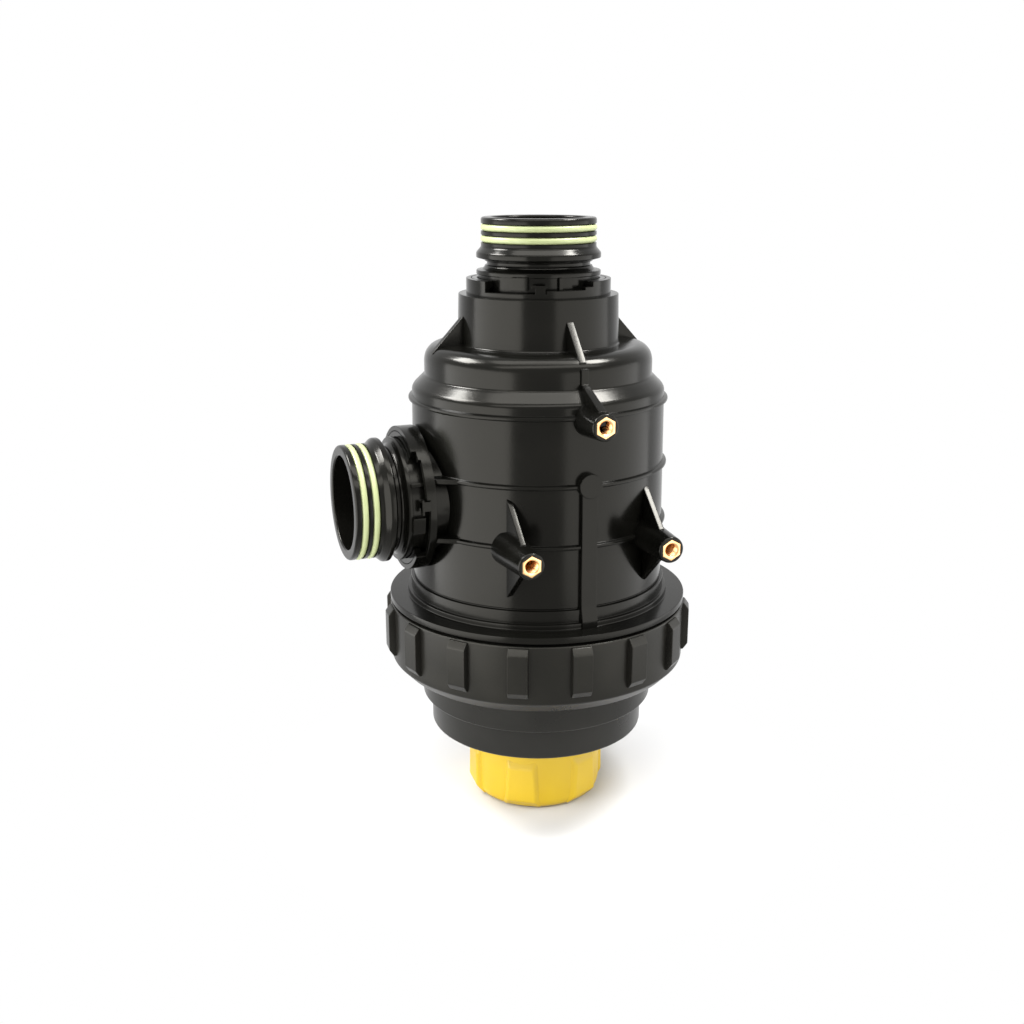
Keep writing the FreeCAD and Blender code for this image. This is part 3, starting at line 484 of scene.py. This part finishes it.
def openSidePort(shape):
    # cuts a round way through the wall, hidden in the thickness of the side port's socket
    middle, reach, sides = sidePort["height"], sidePort["holeRadius"], sidePort["holeSides"]
    for index in range(sides):
        turn = math.tau * index / sides
        way = Vector((0, math.cos(turn), math.sin(turn)))
        near = [face for face in shape.faces
                if face.calc_center_median().x < sidePort["wallFrom"]
                and abs(face.calc_center_median().y) < sidePort["wallHalfWidth"]
                and abs(face.calc_center_median().z - middle) < sidePort["wallHalfHeight"]]
        touched = {part for face in near for part in (*face.verts, *face.edges)}
        bmesh.ops.bisect_plane(shape, geom=near + list(touched), dist=sidePort["cutSlack"],
                               plane_co=Vector((0, 0, middle)) + way * reach, plane_no=way)
    window = []
    for face in shape.faces:
        spot = face.calc_center_median()
        if spot.x < sidePort["wallFrom"] and math.hypot(spot.y, spot.z - middle) < reach:
            window.append(face)
    bmesh.ops.delete(shape, geom=window, context="FACES")
    rims = [edge for edge in shape.edges if len(edge.link_faces) == 1]
    bmesh.ops.bridge_loops(shape, edges=rims)
    return shape


barrelShape = openSidePort(turned(barrelProfile(), barrel["steps"]))
finishHousing("barrelShell", barrelShape, ["filter_body"])
print("barrel made")


# fins, gussets, mould rib and bosses

details = {
    "plateRounding": 0.5,
    "gusset": [(-40, 262), (-40, 284), (-44.2, 284), (-61.6, 265.2), (-61.6, 262)],
    "gussetThickness": 4.0,
    "gussetRounding": 0.55,
    "gussetCount": 4,
    "brace": [(-62, 243), (-62, 262.5), (-64.3, 262.0), (-64.3, 254.6), (-86.6, 244.8), (-86.6, 237.2),
              (-72, 237.2)],
    "braceThickness": 4.2,
    "mouldRib": [(-68, 126), (-68, 203.4), (-73.2, 203.4), (-74.0, 138), (-75.8, 131), (-75.8, 126)],
    "mouldRibWidth": 9.0,
    "gatePadRadius": 6.5,
    "gatePadThickness": 8,
    "gatePadPlace": (0, -66.6, 203.4),
    # the fin's corners as (y, height from the boss's axis)
    "fin": [(-58.0, 27), (-60.5, 25), (-79.0, 8.0), (-79.0, -8.0), (-60.5, -25), (-58.0, -27)],
    "finThickness": 3.2,
    "bossBore": 4.9,
    "bossRadius": 7.0,
    "bossRootRadius": 9.4,
    "bossLength": 34.0,
    "bossFace": -90.3,
    "bosses": {"top": (0.0, 237.2), "left": (-38.97, 169.7), "right": (38.97, 169.7)},
    "steps": 48,
}


def makeBoss(side):
    across, height = details["bosses"][side]
    profile = [
        (details["bossBore"], 0.0),
        (details["bossRadius"], 0.0, 0.9),
        (details["bossRootRadius"], -details["bossLength"]),
        (details["bossBore"], -details["bossLength"]),
    ]
    place = Matrix.Translation((across, details["bossFace"], height)) @ facingFront
    return moved(turned(profile, details["steps"]), place)


def makeFin(side):
    across, height = details["bosses"][side]
    outline = [(y, height + rise) for y, rise in details["fin"]]
    fin = plate(outline, details["finThickness"], details["plateRounding"])
    return moved(fin, Matrix.Translation((across, 0, 0)))


def makeGatePad():
    radius, thickness = details["gatePadRadius"], details["gatePadThickness"]
    profile = [(0, 0), (0, thickness), (radius, thickness, 0.5), (radius, 0)]
    place = Matrix.Translation(details["gatePadPlace"]) @ facingFront
    return moved(turned(profile, details["steps"], closed=False), place)


gusset = plate(details["gusset"], details["gussetThickness"], details["gussetRounding"])
brace = plate(details["brace"], details["braceThickness"], details["plateRounding"])
mouldRib = plate(details["mouldRib"], details["mouldRibWidth"], details["plateRounding"])
finishHousing("turretGussets", repeated(gusset, details["gussetCount"]))
finishHousing("bossBrace", brace)
finishHousing("mouldRib", mouldRib)
finishHousing("gatePad", makeGatePad())
for side in details["bosses"]:
    finishHousing(f"boss_{side}", makeBoss(side))
for side in ("left", "right"):
    finishHousing(f"bossFin_{side}", makeFin(side))
print("fins and bosses made")


# brass inserts

insert = {
    "flats": 10.0,
    "length": 15.0,
    "proud": 0.12,
    "edge": 0.35,
    "boreRadius": 3.4,
    "threadDepth": 0.6,
    "pitch": 1.25,
    "leadIn": 0.5,
    "runOut": 1.0,
    # parts of the pitch down to a turn's crest and to its root
    "crestShare": 0.12,
    "rootShare": 0.5,
    "faceGap": 0.1,
    "faceSlack": 0.001,
    "sleeveGap": 0.12,
    "steps": 48,
}


def threadSleeve():
    # the thread's crests and roots down the bore, behind a small lead-in
    crest = insert["boreRadius"]
    root = crest + insert["threadDepth"]
    back = root + insert["sleeveGap"]
    pitch = insert["pitch"]
    profile = [(back, 0.0), (back, -insert["length"])]
    lastTurn = int((insert["length"] - insert["runOut"]) / pitch)
    for index in range(lastTurn, -1, -1):
        depth = insert["leadIn"] + index * pitch
        profile += [
            (root, -depth - pitch * insert["rootShare"]),
            (crest, -depth - pitch * insert["crestShare"]),
            (crest, -depth),
        ]
    return turned(profile, insert["steps"])


def isRimEdge(edge):
    # one of the six edges round the insert's front face
    return all(abs(vert.co.z) < insert["faceSlack"] and vert.co.xy.length > insert["flats"] / 2
               for vert in edge.verts)


def makeInsert(side):
    across, height = details["bosses"][side]
    shape = bmesh.new()
    corner = insert["flats"] / math.sqrt(3)
    mouth = insert["boreRadius"] + insert["threadDepth"] + insert["faceGap"]
    bmesh.ops.create_circle(shape, cap_ends=False, segments=6, radius=corner)
    bmesh.ops.create_circle(shape, cap_ends=False, segments=insert["steps"], radius=mouth)
    bmesh.ops.triangle_fill(shape, use_beauty=True, use_dissolve=False, edges=shape.edges[:])
    raised = bmesh.ops.extrude_face_region(shape, geom=shape.faces[:])
    lifted = [part for part in raised["geom"] if isinstance(part, bmesh.types.BMVert)]
    bmesh.ops.translate(shape, verts=lifted, vec=(0, 0, -insert["length"]))
    bmesh.ops.recalc_face_normals(shape, faces=shape.faces[:])
    rim = [edge for edge in shape.edges if isRimEdge(edge)]
    bmesh.ops.bevel(shape, geom=rim, offset=insert["edge"], offset_type="OFFSET", segments=2,
                    profile=0.5, affect="EDGES", material=-1)
    place = Matrix.Translation((across, details["bossFace"] - insert["proud"], height)) @ facingFront
    return moved(joined([shape, threadSleeve()]), place)


for side in details["bosses"]:
    finishPiece(f"insert_{side}", makeInsert(side), insertBrass, "housing",
                [f"brass_insert_{side}"], weighted=False)
print("inserts made")


# crowns and spigots

outwardsLeft = Matrix(((0, 0, -1, 0), (0, 1, 0, 0), (1, 0, 0, 0), (0, 0, 0, 1)))
portPlaces = {
    # the port's own axes: outwards along Z, the bosses' side along X
    "top": Matrix.Translation((0, 0, barrel["turretTop"])),
    "side": Matrix.Translation((sidePort["face"], 0, sidePort["height"]))
    @ outwardsLeft
    @ Matrix.Rotation(math.radians(sidePort["turn"]), 4, "Z"),
}

crown = {
    "outer": 39.4,
    "inner": 36.1,
    "ring": 2.6,
    "floor": -1.2,
    "seat": 0.05,
    "foot": 1,
    "step": 4.2,
    "tab": 5.6,
    "post": 7.0,
    "postHead": 1.4,
    "block": 8.2,
    "lipInner": 33.5,
    "lipBottom": 4.6,
    "lipLap": 1,
    # first and last angle of each on one half of the ring
    "blockSpan": (25.1, 112.8),
    "tabSpan": (16.7, 26.1),
    "stepSpan": (-15.7, 17.7),
    "postSpan": (-24.2, -16.6),
    "headSpan": (-27.2, -15.2),
    "steps": 144,
}


def makeCrown():
    values = crown
    outer, inner, foot = values["outer"], values["inner"], values["foot"]
    ring = turned([
        (portBore, values["floor"]),
        (outer, values["floor"], 0.25),
        (outer, values["ring"], 0.35),
        (inner, values["ring"], 0.3),
        (inner, values["seat"]),
        (portBore, values["seat"]),
    ], values["steps"])
    lipOuter = inner + values["lipLap"]
    half = joined([
        ringPiece(inner, outer, foot, values["block"], *values["blockSpan"]),
        ringPiece(values["lipInner"], lipOuter, values["lipBottom"], values["block"], *values["blockSpan"]),
        ringPiece(inner, outer, foot, values["tab"], *values["tabSpan"]),
        ringPiece(inner, outer, foot, values["step"], *values["stepSpan"]),
        ringPiece(inner, outer, foot, values["post"], *values["postSpan"]),
        ringPiece(inner, outer, values["post"] - values["postHead"], values["post"], *values["headSpan"]),
    ])
    return joined([ring, repeated(half, 2)])


spigot = {
    "radius": 31.25,
    "bore": 25.5,
    "boreBottom": 4.2,
    "reach": 40.2,
    "rings": (34.9, 28.9),
    "ringSection": 3.8,
    "ringOuter": 31.45,
    "ringGap": 0.15,
    "ringSegments": 20,
    "ridge": 33.85,
    "ridgeSpan": (19.0, 21.7, 24.6),
    # corners of the fork's groove, from the flange up to the ridge
    "forkGroove": [(30.6, 12.9, 0.5), (29.3, 14.3, 0.4), (29.1, 15.0, 0.2), (28.1, 15.3, 0.2),
                   (28.0, 16.9, 0.2), (29.3, 17.2, 0.25), (29.5, 17.9, 0.2), (30.9, 18.2, 0.3)],
    "flange": 33.8,
    "flangeSpan": (10.2, 12.5),
    "base": 32.8,
    "tail": 28.0,
    "tailEnd": -11.4,
    "tailBore": 23.9,
    "tailGroove": 25.6,
    "tailGrooveSpan": (-7.4, -4.6),
    # inner and outer radius, bottom and top, first and last angle
    "wing": (31, 35.8, 1.0, 4.2, 32, 104),
    "stop": (31, 35.8, 3.9, 10.6, -46, -31),
    "rib": (31, 35.0, 0.5, 10.4, -3.8, -0.5),
    "ribRounding": 0.2,
    "steps": 144,
}


def makeSpigot():
    values = spigot
    grooveBottom, grooveTop = values["tailGrooveSpan"]
    flangeBottom, flangeTop = values["flangeSpan"]
    ridgeBottom, ridgeTop, ridgeEnd = values["ridgeSpan"]
    profile = [
        (values["tailBore"], values["tailEnd"], 0.4),
        (values["tail"], values["tailEnd"], 0.8),
        (values["tail"], grooveBottom),
        (values["tailGroove"], grooveBottom),
        (values["tailGroove"], grooveTop),
        (values["tail"], grooveTop),
        (values["tail"], 0.0),
        (values["base"], 0.0),
        (values["base"], flangeBottom, 0.25),
        (values["flange"], flangeBottom, 0.4),
        (values["flange"], flangeTop, 0.5),
        *values["forkGroove"],
        (values["ridge"], ridgeBottom, 0.45),
        (values["ridge"], ridgeTop, 0.6),
        (values["radius"], ridgeEnd, 0.8),
    ]
    ringFloor = values["ringOuter"] - values["ringSection"]
    half = values["ringSection"] / 2 + values["ringGap"]
    for ring in reversed(values["rings"]):
        profile += [
            (values["radius"], ring - half, 0.2),
            (ringFloor, ring - half),
            (ringFloor, ring + half),
            (values["radius"], ring + half, 0.2),
        ]
    profile += [
        (values["radius"], values["reach"], 1.3),
        (values["bore"], values["reach"], 1.0),
        (values["bore"], values["boreBottom"], 0.6),
        (values["tailBore"], 0.0, 0.6),
    ]
    rib = ringPiece(*values["rib"], values["ribRounding"])
    half = joined([ringPiece(*values["wing"]), ringPiece(*values["stop"]), rib])
    return joined([turned(profile, values["steps"]), repeated(half, 2)])


def makeSeal():
    section, outer = spigot["ringSection"], spigot["ringOuter"]
    shape = bmesh.new()
    bmesh.ops.create_circle(shape, cap_ends=False, segments=spigot["ringSegments"], radius=section / 2)
    upright = Matrix.Rotation(math.radians(90), 3, "X")
    bmesh.ops.rotate(shape, verts=shape.verts[:], cent=(0, 0, 0), matrix=upright)
    bmesh.ops.translate(shape, verts=shape.verts[:], vec=(outer - section / 2, 0, 0))
    bmesh.ops.spin(shape, geom=shape.verts[:] + shape.edges[:], cent=(0, 0, 0), axis=(0, 0, 1),
                   angle=math.tau, steps=spigot["steps"], use_merge=True)
    bmesh.ops.remove_doubles(shape, verts=shape.verts[:], dist=samePoint)
    return shape


for port, place in portPlaces.items():
    finishHousing(f"{port}Crown", moved(makeCrown(), place))
    finishHousing(f"{port}Spigot", moved(makeSpigot(), place), [f"{port}_spigot"])
    for label, height in zip(("outer", "inner"), spigot["rings"]):
        seal = moved(makeSeal(), place @ Matrix.Translation((0, 0, height)))
        finishPiece(f"{port}Seal_{label}", seal, limeRubber, "housing",
                    [f"{port}_o_ring_{label}"], weighted=False)

sideSocket = {"top": -0.4, "bottom": -12.0, "rounding": 0.4, "steps": 144}
socketTube = turned([
    (portBore, sideSocket["top"]),
    (socketRadius, sideSocket["top"]),
    (socketRadius, sideSocket["bottom"], sideSocket["rounding"]),
    (portBore, sideSocket["bottom"], sideSocket["rounding"]),
], sideSocket["steps"])
finishHousing("sideSocket", moved(socketTube, portPlaces["side"]))

portWeb = {
    "thickness": 2.6,
    "rounding": 0.4,
    "heights": {"low": 170.5, "middle": 202.8},
    "outline": [(26.5, -72.2), (33.5, -72.2), (39.5, -60.6), (39.5, -56.8), (33.0, -59.4), (26.5, -62.6)],
}


def makePortWebs(height):
    # flat webs from the beads to the side crown, one on each side of its socket
    webs = []
    for sign in (-1, 1):
        outline = [(y * sign, x) for y, x in portWeb["outline"]]
        webs.append(plate(outline, portWeb["thickness"], portWeb["rounding"]))
    lyingDown = Matrix.Translation((0, 0, height)) @ Matrix.Rotation(math.radians(90), 4, "Y")
    return moved(joined(webs), lyingDown)


for level, height in portWeb["heights"].items():
    finishHousing(f"portWebs_{level}", makePortWebs(height))
print("ports made")


# ring nut

nut = {
    "bottom": 82.0,
    "top": 121.3,
    "radius": 85.0,
    "bore": 79.6,
    "lipBore": 67.15,
    "lipTop": 88.2,
    # the slope under the ribs: its foot's radius, then its head as (radius, height)
    "slopeFoot": 78.5,
    "slopeHead": (84.9, 88.6),
    "wallBottom": 92.0,
    "ribs": 16,
    "ribOutline": [(-83.5, 92.4), (-83.5, 120.6), (-85.9, 120.6), (-88.5, 117.0), (-88.5, 96.2),
                   (-85.9, 92.4)],
    "ribWidth": 11.0,
    "ribRounding": 0.55,
    "ribAngle": -5.8,
    "steps": 240,
}


def makeRingNut():
    values = nut
    body = turned([
        (values["lipBore"], values["bottom"], 0.4),
        (values["slopeFoot"], values["bottom"], 0.8),
        (*values["slopeHead"], 0.8),
        (values["radius"], values["wallBottom"]),
        (values["radius"], values["top"], 0.9),
        (values["bore"], values["top"], 0.4),
        (values["bore"], values["lipTop"]),
        (values["lipBore"], values["lipTop"]),
    ], values["steps"])
    rib = plate(values["ribOutline"], values["ribWidth"], values["ribRounding"])
    return joined([body, repeated(rib, values["ribs"], values["ribAngle"])])


finishPiece("ringNut", makeRingNut(), satinBlack, "ring_nut", ["ring_nut"])
print("ring nut made")


# bowl

bowl = {
    "neckBore": 24.0,
    "neckRadius": 29.8,
    "neckBottom": 8.1,
    "lowerRadius": 61.8,
    "upperRadius": 67.0,
    "bottom": 45.3,
    "step": 63.8,
    "rimRadius": 76.4,
    "rimBottom": 88.5,
    "rimTop": 94.0,
    # corners of the sleeve with the seal's groove, then of the inner wall down to the floor
    "sleeve": [(71.6, 94.0), (71.6, 97.3), (67.7, 97.3), (67.7, 101.7), (71.6, 101.7), (71.6, 105.0, 0.6)],
    "inside": [(65.6, 105.0), (65.6, 94.0), (62.4, 88.5), (62.4, 68.4), (57.6, 66.6), (57.6, 49.9, 2.0)],
    "floor": 49.9,
    "steps": 200,
}


def makeBowl():
    values = bowl
    return turned([
        (values["neckBore"], values["neckBottom"]),
        (values["neckRadius"], values["neckBottom"], 0.4),
        (values["neckRadius"], values["bottom"]),
        (values["lowerRadius"], values["bottom"], 1.4),
        (values["lowerRadius"], values["step"], 0.6),
        (values["upperRadius"], values["step"], 0.9),
        (values["upperRadius"], values["rimBottom"]),
        (values["rimRadius"], values["rimBottom"]),
        (values["rimRadius"], values["rimTop"]),
        *values["sleeve"],
        *values["inside"],
        (values["neckBore"], values["floor"], 0.5),
    ], values["steps"])


finishPiece("bowlShell", makeBowl(), bowlBlack, "bowl_group", ["bowl"])
print("bowl made")


# drain cap

cap = {
    "radius": 38.0,
    "height": 42.0,
    "bore": 30.2,
    "floor": 5.0,
    "footRounding": 6.5,
    "ribs": 6,
    "ribRadius": 39.5,
    "ribBase": 34.5,
    "ribFoot": 0.8,
    "ribTop": 35.5,
    "ribFootHalf": 8.75,
    "ribTopHalf": 7.5,
    # how far the rib draws in from its root to its crest, at its sides, foot and top
    "ribFlank": 3.0,
    "ribFootSlope": 5.2,
    "ribTopSlope": 9.0,
    "ribRounding": 1.3,
    "ribAngle": 25.7,
    "steps": 160,
}


def makeCapRib():
    # a broad rib, wider at its foot, drawn at its root and narrowed towards its crest
    values = cap
    shape = bmesh.new()
    foot, top, flank = values["ribFoot"], values["ribTop"], values["ribFlank"]
    footHalf, topHalf = values["ribFootHalf"] + flank, values["ribTopHalf"] + flank
    corners = [(-footHalf, foot), (footHalf, foot), (topHalf, top), (-topHalf, top)]
    face = shape.faces.new([shape.verts.new((x, -values["ribBase"], z)) for x, z in corners])
    raised = bmesh.ops.extrude_face_region(shape, geom=[face])
    lifted = [part for part in raised["geom"] if isinstance(part, bmesh.types.BMVert)]
    bmesh.ops.translate(shape, verts=lifted, vec=(0, -(values["ribRadius"] - values["ribBase"]), 0))
    for vert in lifted:
        vert.co.x -= math.copysign(flank, vert.co.x)
        vert.co.z += values["ribFootSlope"] if vert.co.z < (foot + top) / 2 else -values["ribTopSlope"]
    bmesh.ops.recalc_face_normals(shape, faces=shape.faces[:])
    bmesh.ops.bevel(shape, geom=shape.edges[:], offset=values["ribRounding"], offset_type="OFFSET",
                    segments=4, profile=0.5, affect="EDGES", clamp_overlap=True, material=-1)
    return shape


def makeDrainCap():
    values = cap
    body = turned([
        (0, 0),
        (values["radius"], 0, values["footRounding"]),
        (values["radius"], values["height"], 0.8),
        (values["bore"], values["height"], 0.3),
        (values["bore"], values["floor"]),
        (0, values["floor"]),
    ], values["steps"], closed=False)
    return joined([body, repeated(makeCapRib(), values["ribs"], values["ribAngle"])])


finishPiece("drainCap", makeDrainCap(), capYellow, "drain_cap", ["drain_cap"])
print("drain cap made")


# carried-over nodes

carriedOver = {
    "top_tail_o_ring": blackRubber,
    "side_tail_o_ring": blackRubber,
    "bowl_o_ring": blackRubber,
    "cartridge_o_ring": blackRubber,
    "drain_gasket": blackRubber,
    "cartridge_mesh": strainerWire,
    "cartridge_cage": cageRed,
    "cartridge_collar": cageRed,
    "cartridge_base": cageRed,
}
for node, material in carriedOver.items():
    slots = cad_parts[node].material_slots
    for slot in slots:
        slot.material = material
    if not slots:
        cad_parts[node].data.materials.append(material)


# floor, light and camera

studio = {
    "floorSize": 8.0,
    "floorTone": 0.6,
    "floorFades": (0.05, 0.17),
    "floorRoughness": 0.9,
    "floorShine": 0.1,
    "worldLight": 0.12,
}

lamps = {
    # where each stands, what it faces, its width and height, and its power
    "softboxLeft": ((-0.346, -0.049, 0.17), (0, 0, 0.18), (0.55, 0.33), 2.50),
    "softboxRight": ((0.248, -0.248, 0.17), (0, 0, 0.18), (0.68, 0.33), 1.50),
    "spotLeft": ((-0.401, 0.195, 0.651), (0, 0, 0.25), (0.24, 0.18), 6.2),
    "spotRight": ((0.311, -0.166, 0.735), (0, 0, 0.25), (0.18, 0.15), 5.6),
    "stripTop": ((-0.10, -0.62, 0.95), (0, 0, 0.22), (1.90, 0.26), 8.0),
    "softboxTop": ((-0.05, -0.16, 1.20), (0, 0, 0.22), (1.10, 0.36), 8.0),
}

photoView = {
    "sensor": 36.0,
    "lens": 42.36,
    "place": (-0.2492, -0.6178, 0.3602),
    "turn": (74.08, 0.0, -20.73),
}


def seenDirectly(tree):
    # 1 for what the camera, a reflection or a clear material sees, else 0
    paths = tree.nodes.new("ShaderNodeLightPath")
    total = paths.outputs["Is Camera Ray"]
    for kind in ("Is Glossy Ray", "Is Transmission Ray"):
        larger = tree.nodes.new("ShaderNodeMath")
        larger.operation = "MAXIMUM"
        tree.links.new(total, larger.inputs[0])
        tree.links.new(paths.outputs[kind], larger.inputs[1])
        total = larger.outputs[0]
    return total


def paleFloor():
    shape = bmesh.new()
    bmesh.ops.create_grid(shape, x_segments=1, y_segments=1, size=studio["floorSize"])
    mesh = bpy.data.meshes.new("paleFloor")
    shape.to_mesh(mesh)
    shape.free()
    material, tree, shader = nodeMaterial("paleFloorPaint")
    shader.inputs["Base Color"].default_value = (*(studio["floorTone"],) * 3, 1)
    shader.inputs["Roughness"].default_value = studio["floorRoughness"]
    shader.inputs["Specular IOR Level"].default_value = studio["floorShine"]
    # the floor turns to plain white away from the object, so that no horizon shows
    place = tree.nodes.new("ShaderNodeTexCoord")
    away = tree.nodes.new("ShaderNodeVectorMath")
    away.operation = "LENGTH"
    fade = tree.nodes.new("ShaderNodeMapRange")
    fade.interpolation_type = "SMOOTHSTEP"
    fade.inputs["From Min"].default_value, fade.inputs["From Max"].default_value = studio["floorFades"]
    share = tree.nodes.new("ShaderNodeMath")
    share.operation = "MULTIPLY"
    white = tree.nodes.new("ShaderNodeEmission")
    blend = tree.nodes.new("ShaderNodeMixShader")
    tree.links.new(place.outputs["Object"], away.inputs[0])
    tree.links.new(away.outputs["Value"], fade.inputs["Value"])
    tree.links.new(fade.outputs["Result"], share.inputs[0])
    tree.links.new(seenDirectly(tree), share.inputs[1])
    tree.links.new(share.outputs[0], blend.inputs["Fac"])
    tree.links.new(shader.outputs["BSDF"], blend.inputs[1])
    tree.links.new(white.outputs["Emission"], blend.inputs[2])
    tree.links.new(blend.outputs["Shader"], tree.nodes["Material Output"].inputs["Surface"])
    mesh.materials.append(material)
    floor = bpy.data.objects.new("paleFloor", mesh)
    bpy.context.scene.collection.objects.link(floor)


def softLight(name):
    place, target, size, power = lamps[name]
    lamp = bpy.data.lights.new(name, "AREA")
    lamp.shape = "RECTANGLE"
    lamp.size, lamp.size_y = size
    lamp.energy = power
    holder = bpy.data.objects.new(name, lamp)
    holder.location = place
    holder.rotation_euler = (Vector(target) - Vector(place)).to_track_quat("-Z", "Y").to_euler()
    holder.visible_camera = False
    bpy.context.scene.collection.objects.link(holder)


def plainWorld():
    world = bpy.data.worlds.new("paleStudio")
    bpy.context.scene.world = world
    world.use_nodes = True
    tree = world.node_tree
    background = tree.nodes["Background"]
    background.inputs["Color"].default_value = (1, 1, 1, 1)
    level = tree.nodes.new("ShaderNodeMapRange")
    level.inputs["To Min"].default_value = studio["worldLight"]
    level.inputs["To Max"].default_value = 1.0
    tree.links.new(seenDirectly(tree), level.inputs["Value"])
    tree.links.new(level.outputs["Result"], background.inputs["Strength"])


def photoCamera():
    camera = bpy.data.cameras.new("photoCamera")
    camera.sensor_width = photoView["sensor"]
    camera.lens = photoView["lens"]
    holder = bpy.data.objects.new("photoCamera", camera)
    holder.location = photoView["place"]
    holder.rotation_euler = [math.radians(angle) for angle in photoView["turn"]]
    bpy.context.scene.collection.objects.link(holder)
    bpy.context.scene.camera = holder


paleFloor()
plainWorld()
for name in lamps:
    softLight(name)
photoCamera()
bpy.context.scene.view_settings.view_transform = "Standard"
print("studio set")
